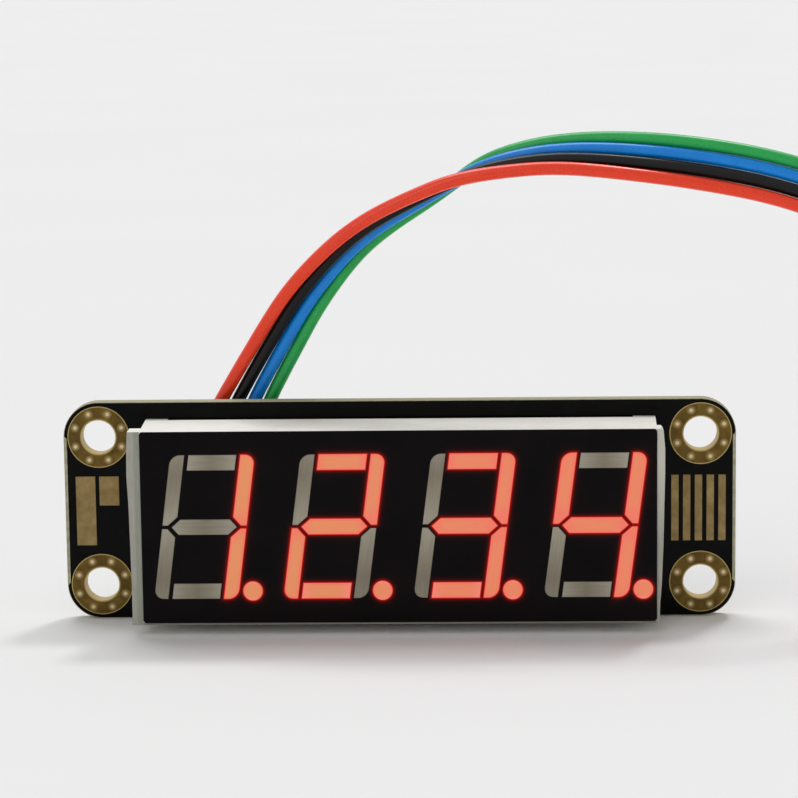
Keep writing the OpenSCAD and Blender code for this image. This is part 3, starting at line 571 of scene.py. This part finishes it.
HALF_W, HALF_H, BAR_V, BAR_H = 4.125, 7.15, 1.4, 1.54
GAP, LEVEL_GAP, TIP_GAP, ROUND, CUT = 0.32, 0.38, 0.08, 0.95, 0.85
INNER_W, INNER_H, WAIST = HALF_W - BAR_V, HALF_H - BAR_H, GAP / 2
POINT_R, POINT_STEP, WELL_DEPTH, RESIN_EDGE_SINK, FACE_CORNER_R = 0.95, 0.52, 4.6, 0.02, 0.3
LIT = ["bc", "abdeg", "abcdg", "bcfg"]

# Spacing of the points that carry the looks: along outlines, in rings beside them, in grids
RESIN_STEP, RESIN_RINGS, RESIN_GRID = 0.25, (0.04, 0.1, 0.22), 0.35
FACE_STEP, FACE_RINGS, FACE_GRID = 0.3, (0.05, 0.12, 0.22, 0.4, 0.7), 1.0
GRID_MARGIN, NEAR, RIM_REACH, POINT_RIM_REACH, GLOW_REACH, GLOW_FALL = 0.3, 0.02, 0.5, 0.4, 0.9, 1.5


def arc(x, z, r, start, end, steps):
    angles = [math.radians(start + (end - start) * i / steps) for i in range(steps + 1)]
    return [(x + r * math.cos(a), z + r * math.sin(a)) for a in angles]


def segment(letter):
    """Outline of a segment round its digit's centre, before the slant."""
    upright = [(-HALF_W, WAIST), (-INNER_W - CUT, WAIST), (-INNER_W, WAIST + CUT), (-INNER_W, HALF_H)]
    upright += arc(-HALF_W + ROUND, HALF_H - ROUND, ROUND, 90, 180, 6)
    end = INNER_W - LEVEL_GAP
    level = [(-end, INNER_H), (end, INNER_H), (end, HALF_H), (-end, HALF_H)]
    tip = INNER_W + WAIST + CUT - GAP * math.sqrt(2) - TIP_GAP
    h = BAR_H / 2
    middle = [(-tip, 0), (h - tip, -h), (tip - h, -h), (tip, 0), (tip - h, h), (h - tip, h)]
    shape, turn_x, turn_z = {
        "a": (level, 1, 1), "b": (upright, -1, 1), "c": (upright, -1, -1), "d": (level, 1, -1),
        "e": (upright, 1, -1), "f": (upright, 1, 1), "g": (middle, 1, 1)}[letter]
    points = [(x * turn_x, z * turn_z) for x, z in shape]
    return points if turn_x * turn_z > 0 else points[::-1]


def digit_x(digit):
    return DISPLAY_AT[0] + DIGIT_SHIFT[0] + (digit - (DIGITS - 1) / 2) * DIGIT_PITCH


def placed(points, digit):
    """The outline leaned and put in its digit's place."""
    return [(x + z * SLANT + digit_x(digit), z + DISPLAY_AT[1] + DIGIT_SHIFT[1]) for x, z in points]


def point_outline(digit):
    x = HALF_W + POINT_STEP + digit_x(digit)
    z = -HALF_H + BAR_H / 2 + DISPLAY_AT[1] + DIGIT_SHIFT[1]
    return arc(x, z, POINT_R, 0, 360, 40)[:-1]


def box(outline):
    xs, zs = [p[0] for p in outline], [p[1] for p in outline]
    return min(xs), max(xs), min(zs), max(zs)


def divided(points, step):
    """The outline with points no further apart than step."""
    out = []
    for i, a in enumerate(points):
        b = points[(i + 1) % len(points)]
        n = max(1, math.ceil(math.dist(a, b) / step))
        out += [(a[0] + (b[0] - a[0]) * j / n, a[1] + (b[1] - a[1]) * j / n) for j in range(n)]
    return out


def distance(p, outline):
    """Distance from a point to an outline."""
    best = math.inf
    for i, a in enumerate(outline):
        b = outline[(i + 1) % len(outline)]
        dx, dz = b[0] - a[0], b[1] - a[1]
        t = ((p[0] - a[0]) * dx + (p[1] - a[1]) * dz) / max(dx * dx + dz * dz, 1e-12)
        t = min(1, max(0, t))
        best = min(best, math.hypot(p[0] - a[0] - t * dx, p[1] - a[1] - t * dz))
    return best


def within(p, outline):
    """Whether a point lies inside an outline."""
    hit = False
    for i, a in enumerate(outline):
        b = outline[i - 1]
        if (a[1] > p[1]) != (b[1] > p[1]) and p[0] < (b[0] - a[0]) * (p[1] - a[1]) / (b[1] - a[1]) + a[0]:
            hit = not hit
    return hit


def offset(outline, by):
    """Points round an outline, that far outside (or inside, if negative)."""
    out = []
    for i, p in enumerate(outline):
        a, b = outline[i - 1], outline[(i + 1) % len(outline)]
        dx, dz = b[0] - a[0], b[1] - a[1]
        length = math.hypot(dx, dz) or 1
        out.append((p[0] + dz / length * by, p[1] - dx / length * by))
    return out


def grid(outline, step):
    """Points in rows inside an outline and clear of it, every other row shifted."""
    x0, x1, z0, z1 = box(outline)
    out = []
    for i in range(int((x1 - x0) / step) + 2):
        for j in range(int((z1 - z0) / step) + 2):
            p = (x0 + (i + 0.5 * (j % 2)) * step, z0 + j * step)
            if within(p, outline) and distance(p, outline) > GRID_MARGIN:
                out.append(p)
    return out


def triangles(outer, holes, extra):
    """Corners and triangles between an outline and its holes, and the corners on those lines."""
    points, edges = [], []
    for line in [outer] + holes:
        start = len(points)
        points += line
        edges += [(start + i, start + (i + 1) % len(line)) for i in range(len(line))]
    line_count = len(points)
    points += extra
    corners, _, faces, origin, _, _ = geometry.delaunay_2d_cdt(
        [Vector(p) for p in points], edges, [], 0, 1e-5)
    keep = []
    for f in faces:
        centre = (sum(corners[i].x for i in f) / 3, sum(corners[i].y for i in f) / 3)
        if within(centre, outer) and not any(within(centre, h) for h in holes):
            a, b, c = (corners[i] for i in f)
            keep.append(f if (b - a).cross(c - a) > 0 else f[::-1])
    on_line = {i for i, came_from in enumerate(origin) if any(s < line_count for s in came_from)}
    return corners, keep, on_line


def plate(name, outer, holes, extra, depth, look_at, sink=0.0):
    """A closed solid from the display's front inwards, with a vertex attribute called look."""
    corners, faces, on_line = triangles(outer, holes, extra)
    used = sorted({i for f in faces for i in f})
    index = {v: i for i, v in enumerate(used)}
    n = len(used)
    places = [(corners[v].x * MM, (FACE_Y + (sink if v in on_line else 0)) * MM, corners[v].y * MM)
              for v in used]
    places += [(corners[v].x * MM, (FACE_Y + depth) * MM, corners[v].y * MM) for v in used]
    front = [[index[i] for i in f] for f in faces]
    back = [[i + n for i in f[::-1]] for f in front]
    sides = [(a, b) for f in front for a, b in zip(f, f[1:] + f[:1])]
    shared = set(sides)
    walls = [[b, a, a + n, b + n] for a, b in sides if (b, a) not in shared]
    mesh = bpy.data.meshes.new(name)
    mesh.from_pydata(places, [], front + back + walls)
    layer = mesh.attributes.new("look", "FLOAT_COLOR", "POINT")
    for i, v in enumerate(used):
        value = look_at((corners[v].x, corners[v].y))
        layer.data[i].color = layer.data[i + n].color = (*value, 1)
    mesh.validate()
    return add_object(name, mesh)


def resin(name, line, level, rim_reach=RIM_REACH):
    """A segment's block of resin. Its look: nearness to the rim, nearness to an end, and level."""
    cx, cz = sum(p[0] for p in line) / len(line), sum(p[1] for p in line) / len(line)
    half = max(max(abs(p[1] - cz) for p in line), max(abs(p[0] - cx) for p in line))
    edge = divided(line, RESIN_STEP)
    extra = [p for by in RESIN_RINGS for p in offset(edge, -by)
             if within(p, line) and distance(p, line) > by * 0.7]
    extra += grid(line, RESIN_GRID)

    def look_at(p):
        far = abs(p[0] - cx) if level else abs(p[1] - cz)
        return max(0, 1 - distance(p, line) / rim_reach), min(1, far / half), level

    return plate(name, edge, [], extra, WELL_DEPTH, look_at, sink=RESIN_EDGE_SINK)


def join(objects, name):
    mesh = bpy.data.meshes.new(name)
    bm = bmesh.new()
    for obj in objects:
        bm.from_mesh(obj.data)
        bpy.data.objects.remove(obj)
    bm.to_mesh(mesh)
    bm.free()
    return add_object(name, mesh)


def dress(obj, slot, *nodes):
    """Gives a new piece the material of its slot and its body, and hides the nodes it stands for."""
    obj.data.materials.clear()
    obj.data.materials.append(LOOKS[slot])
    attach(obj, "root")
    if nodes:
        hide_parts(*nodes)
    return obj


def make_segments():
    """The resin in every well. Returns the outlines that are lit, and all of them."""
    lit_lines, all_lines = [], []
    for digit in range(DIGITS):
        groups = {"lit": [], "unlit": []}
        for letter in "abcdefg":
            state = "lit" if letter in LIT[digit] else "unlit"
            line = placed(segment(letter), digit)
            groups[state].append((line, 1.0 if letter in "adg" else 0.0))
            all_lines.append(line)
            if state == "lit":
                lit_lines.append(line)
        for state, pieces in groups.items():
            name = f"{state}_digit_{digit + 1}"
            blocks = [resin(f"{name}_{i}", line, level) for i, (line, level) in enumerate(pieces)]
            dress(join(blocks, name), f"segment_{state}", f"{state}_segments_{digit + 1}")
        all_lines.append(point_outline(digit))
        lit_lines.append(point_outline(digit))
    points = [resin(f"point_{digit}", point_outline(digit), 0.0, POINT_RIM_REACH)
              for digit in range(DIGITS)]
    dress(join(points, "decimal_point_resin"), "segment_lit", "decimal_points")
    return lit_lines, all_lines


def make_face(lit_lines, all_lines):
    """The black front layer with its openings. Its look is the glow of the nearest lit segment."""
    half_w, half_h = DISPLAY_W / 2, (DISPLAY_H - CHIN) / 2
    cx, cz = DISPLAY_AT[0], DISPLAY_AT[1] + CHIN / 2
    outer = []
    for sx, sz, turn in ((1, 1, 0), (-1, 1, 90), (-1, -1, 180), (1, -1, 270)):
        outer += arc(cx + sx * (half_w - FACE_CORNER_R), cz + sz * (half_h - FACE_CORNER_R), FACE_CORNER_R,
                     turn, turn + 90, 5)
    holes = [divided(line, FACE_STEP) for line in all_lines]
    hole_boxes = [box(hole) for hole in holes]
    lit_boxes = [box(line) for line in lit_lines]

    def free(p):
        for (x0, x1, z0, z1), hole in zip(hole_boxes, holes):
            if x0 - NEAR < p[0] < x1 + NEAR and z0 - NEAR < p[1] < z1 + NEAR:
                if within(p, hole) or distance(p, hole) < NEAR:
                    return False
        return True

    def look_at(p):
        best = GLOW_REACH
        for (x0, x1, z0, z1), line in zip(lit_boxes, lit_lines):
            if x0 - best < p[0] < x1 + best and z0 - best < p[1] < z1 + best:
                best = min(best, distance(p, line))
        glow = (1 - best / GLOW_REACH) ** GLOW_FALL
        return glow, glow, glow

    extra = [p for line in lit_lines for by in FACE_RINGS
             for p in offset(divided(line, FACE_STEP), by) if free(p)]
    extra += [p for p in grid(outer, FACE_GRID) if free(p)]
    face = plate("front_layer", divided(outer, FACE_GRID), holes, extra, FACE_T, look_at)
    dress(face, "face_black", "display_face")


make_face(*make_segments())

# Rear of the board

# Y of the tracks' outer face, of the print's and the vias', and of the inner face of all
TRACK_Y, PRINT_Y, SUNK_Y = 0.03, 0.045, -0.02
TRACK_W, WIDE_PRINT, THIN_PRINT, VIA_R, MARK_R = 0.3, 0.15, 0.12, 0.3, 0.25
HEADER_TRACKS = [
    [(-13.8, -5.6), (-13.8, -6.4), (-9.6, -6.4), (-8.4, -5.2), (-2.2, -5.2), (-0.45, -3.6)],
    [(-15.8, -5.6), (-15.8, -7.0), (-9.2, -7.0), (-8.0, -5.8), (-1.6, -5.8), (0.83, -3.6)],
    [(-17.8, -5.6), (-17.8, -7.6), (-8.8, -7.6), (-7.6, -6.4), (-0.6, -6.4), (2.1, -3.9), (2.1, -3.6)],
    [(-19.8, -5.6), (-19.8, -8.8), (3.0, -8.8), (3.4, -8.4), (3.37, -3.6)]]
PIN_TRACKS = [
    [(-0.45, 3.6), (-0.45, 4.4), (-1.2, 5.2), (-6.2, 6.6), (-6.2, 7.32)],
    [(0.83, 3.6), (0.83, 4.9), (-1.0, 6.0), (-3.66, 6.4), (-3.66, 7.32)],
    [(2.1, 3.6), (2.1, 4.8), (-1.12, 6.8), (-1.12, 7.32)],
    [(3.37, 3.6), (3.37, 5.2), (1.42, 6.6), (1.42, 7.32)],
    [(4.64, 3.6), (4.64, 5.8), (3.96, 6.5), (3.96, 7.32)],
    [(5.91, 3.6), (5.91, 6.4), (6.5, 7.0), (6.5, 7.32)],
    [(4.64, -3.6), (4.64, -5.4), (3.96, -6.2), (3.96, -7.92)],
    [(5.91, -3.6), (5.91, -6.4), (6.5, -7.0), (6.5, -7.92)],
    [(7.18, -3.6), (7.18, -5.6), (8.6, -7.0), (20.5, -7.0), (22.0, -5.5), (22.0, 2.0)],
    [(8.45, -3.6), (8.45, -5.0), (9.6, -6.2), (19.5, -6.2), (20.6, -5.1), (20.6, 0.5)]]
SMALL_PART_TRACKS = [
    [(11.55, 2.4), (10.2, 2.4), (8.8, 3.6)],
    [(11.55, 0), (9.9, 0), (9.9, -2.2), (8.9, -3.2)],
    [(13.25, 0), (15.5, 0), (17.0, 1.5), (17.0, 5.0)],
    [(13.25, -2.4), (16.2, -2.4), (18.6, 0), (18.6, 3.6)],
    [(-4.35, 2.4), (-3.0, 2.4), (-1.6, 3.2), (-0.6, 3.6)],
    [(-4.35, -2.4), (-3.0, -2.4), (-1.6, -3.2), (-0.6, -3.6)],
    [(-6.05, 2.4), (-7.4, 2.4), (-8.4, 3.4), (-8.4, 5.0)],
    [(-6.05, -2.4), (-7.6, -2.4), (-8.4, -3.2)]]
VIAS = [(22.0, 2.0), (20.6, 0.5), (17.0, 5.0), (18.6, 3.6), (-8.4, 5.0), (-8.4, -3.2), (24.5, -6.5),
        (24.5, 6.5), (14.5, 6.2), (-26.0, 2.0), (-26.0, -2.0), (26.5, 0)]
CHIP_BOX, HEADER_BOX = (-1.6, 9.6, -2.2, 2.2), (-23.9, -9.7, -5.4, 3.3)
PIN_ROW_BOXES = [(-7.6, 7.9, 6.1, 8.5), (-7.6, 7.9, -9.1, -6.7)]
SMALL_PARTS_AT = [(-5.2, -2.4), (-5.2, 2.4), (12.4, -2.4), (12.4, 0), (12.4, 2.4)]
SMALL_PART_HALF_W, SMALL_PART_HALF_H = 1.5, 0.72
FIRST_PIN_MARKS = [(-1.6, -3.6), (-9.2, -6.0)]


def solid_line(bm, line, width, top):
    """A flat closed strip along a line of (x, z) points on the board's rear."""
    half, n = width / 2, len(line)
    pairs = []
    for i, p in enumerate(line):
        a, b = Vector(line[max(i - 1, 0)]), Vector(line[min(i + 1, n - 1)])
        p = Vector(p)
        before = (p - a).normalized() if i else (b - p).normalized()
        after = (b - p).normalized() if i < n - 1 else before
        side = Vector((-before.y - after.y, before.x + after.x)).normalized()
        side *= half / max(side.dot(Vector((-before.y, before.x))), 0.4)
        past_end = before * half if i == n - 1 else (-after * half if i == 0 else Vector((0, 0)))
        pairs.append((p + past_end + side, p + past_end - side))
    rings = [[bm.verts.new((q.x * MM, y * MM, q.y * MM))
              for q, y in ((left, SUNK_Y), (right, SUNK_Y), (right, top), (left, top))]
             for left, right in pairs]
    for a, b in zip(rings, rings[1:]):
        for k in range(4):
            bm.faces.new((a[k], a[(k + 1) % 4], b[(k + 1) % 4], b[k]))
    bm.faces.new(rings[0][::-1])
    bm.faces.new(rings[-1])


def solid_dot(bm, x, z, r, top, parts=20):
    """A flat closed disc on the board's rear."""
    angles = [2 * math.pi * i / parts for i in range(parts)]
    low, high = [[bm.verts.new(((x + r * math.cos(a)) * MM, y * MM, (z + r * math.sin(a)) * MM))
                  for a in angles] for y in (SUNK_Y, top)]
    for i in range(parts):
        j = (i + 1) % parts
        bm.faces.new((low[i], low[j], high[j], high[i]))
    bm.faces.new(low[::-1])
    bm.faces.new(high)


def finish_mesh(bm, name, slot):
    bmesh.ops.recalc_face_normals(bm, faces=bm.faces)
    mesh = bpy.data.meshes.new(name)
    bm.to_mesh(mesh)
    bm.free()
    return dress(add_object(name, mesh), slot)


def box_line(x0, x1, z0, z1):
    return [(x0, (z0 + z1) / 2), (x0, z1), (x1, z1), (x1, z0), (x0, z0), (x0, (z0 + z1) / 2)]


def make_tracks():
    """Copper tracks under the mask: first given the board's material, then a tone of their own."""
    bm = bmesh.new()
    for line in HEADER_TRACKS + PIN_TRACKS + SMALL_PART_TRACKS:
        solid_line(bm, line, TRACK_W, TRACK_Y)
    finish_mesh(bm, "rear_tracks", "board_black").data.materials[0] = LOOKS["track_black"]


def make_vias():
    bm = bmesh.new()
    for x, z in VIAS:
        solid_dot(bm, x, z, VIA_R, PRINT_Y)
    finish_mesh(bm, "rear_vias", "solder")


def make_outlines():
    """White printed outlines of the parts, and a dot at the first pin of chip and header."""
    bm = bmesh.new()
    for corners in (CHIP_BOX, HEADER_BOX):
        solid_line(bm, box_line(*corners), WIDE_PRINT, PRINT_Y)
    for x, z in SMALL_PARTS_AT:
        for side in (-SMALL_PART_HALF_H, SMALL_PART_HALF_H):
            solid_line(bm, [(x - SMALL_PART_HALF_W, z + side), (x + SMALL_PART_HALF_W, z + side)],
                       THIN_PRINT, PRINT_Y)
    for corners in PIN_ROW_BOXES:
        solid_line(bm, box_line(*corners), THIN_PRINT, PRINT_Y)
    for x, z in FIRST_PIN_MARKS:
        solid_dot(bm, x, z, MARK_R, PRINT_Y)
    finish_mesh(bm, "rear_outlines", "housing_white")


make_tracks()
make_vias()
make_outlines()

# CAD nodes

SLOTS = {s["node"]: s["material_slot"] for s in frame["record"]["subparts"]}
BEVELS = {"display_housing": 0.12, "driver_chip": 0.06, "header_shell": 0.12, "plug_shell": 0.12,
          "socket_shell": 0.15, "coil_ties": 0.14, "header_anchor_tabs": 0.05, "header_contacts": 0.04,
          "driver_chip_leads": 0.03, "passive_end_caps": 0.06, "resistors": 0.04, "capacitors": 0.05,
          "circuit_board": 0.04, "mounting_hole_plating": 0.015, "front_gold_fields": 0.015,
          "socket_contacts": 0.04, "plug_contacts": 0.04}
BEVEL_ANGLE = 40
for name, node in frame["nodes"].items():
    node.data.materials.clear()
    node.data.materials.append(LOOKS[SLOTS[name]])
    if name in BEVELS:
        bevel = node.modifiers.new("edges", "BEVEL")
        bevel.width, bevel.segments, bevel.limit_method = BEVELS[name] * MM, 2, "ANGLE"
        bevel.angle_limit = math.radians(BEVEL_ANGLE)

# Stage and light

# Half the floor's side, in metres, and the gap between it and the part
STAGE_HALF_M, STAGE_GAP = 3.0, 0.05
STAGE_GREYS = (0.9, 0.9, 0.9, 1), (0.91, 0.91, 0.91, 1)
WORLD_LIGHT, WORLD_SEEN = 0.38, 0.95
# Elevation, azimuth, strength and breadth of each sun; azimuth 0 is behind the object, 180 in front
SUNS = [(68, -20, 0.95, 28), (60, 25, 0.75, 9), (35, 205, 0.35, 40)]


def make_floor():
    z = (FLOOR_Z - STAGE_GAP) * MM
    mesh = bpy.data.meshes.new("floor")
    corners = [(x * STAGE_HALF_M, y * STAGE_HALF_M, z) for x, y in ((-1, -1), (1, -1), (1, 1), (-1, 1))]
    mesh.from_pydata(corners, [], [(0, 1, 2, 3)])
    floor = add_object("floor", mesh)
    look = Look("floor_pale", 0.9, specular=0.1)
    grey = look.ramp(look.noise(0.01, detail=1), (0.3, STAGE_GREYS[0]), (0.7, STAGE_GREYS[1]))
    look.set("Base Color", grey)
    mesh.materials.append(look.mat)


def make_world():
    """A soft light all round, which the camera, glossy and see-through surfaces see as near white."""
    world = bpy.data.worlds.new("world")
    bpy.context.scene.world = world
    world.use_nodes = True
    tree = world.node_tree
    tree.nodes.clear()
    out = tree.nodes.new("ShaderNodeOutputWorld")
    shade = tree.nodes.new("ShaderNodeBackground")
    rays = tree.nodes.new("ShaderNodeLightPath")
    seen, mirrored = tree.nodes.new("ShaderNodeMath"), tree.nodes.new("ShaderNodeMath")
    seen.operation = mirrored.operation = "MAXIMUM"
    tree.links.new(rays.outputs["Is Glossy Ray"], mirrored.inputs[0])
    tree.links.new(rays.outputs["Is Transmission Ray"], mirrored.inputs[1])
    tree.links.new(rays.outputs["Is Camera Ray"], seen.inputs[0])
    tree.links.new(mirrored.outputs[0], seen.inputs[1])
    level = tree.nodes.new("ShaderNodeMapRange")
    level.inputs["To Min"].default_value, level.inputs["To Max"].default_value = WORLD_LIGHT, WORLD_SEEN
    tree.links.new(seen.outputs[0], level.inputs[0])
    tree.links.new(level.outputs[0], shade.inputs["Strength"])
    shade.inputs["Color"].default_value = (1, 1, 1, 1)
    tree.links.new(shade.outputs[0], out.inputs[0])


def sun(elevation, azimuth, strength, breadth):
    data = bpy.data.lights.new("sun", "SUN")
    data.energy, data.angle = strength, math.radians(breadth)
    lamp = add_object("sun", data)
    e, a = math.radians(elevation), math.radians(azimuth)
    at = Vector((math.sin(a) * math.cos(e), math.cos(a) * math.cos(e), math.sin(e)))
    lamp.matrix_world = at.to_track_quat("Z", "Y").to_matrix().to_4x4()


make_floor()
make_world()
for values in SUNS:
    sun(*values)

bpy.context.view_layer.update()
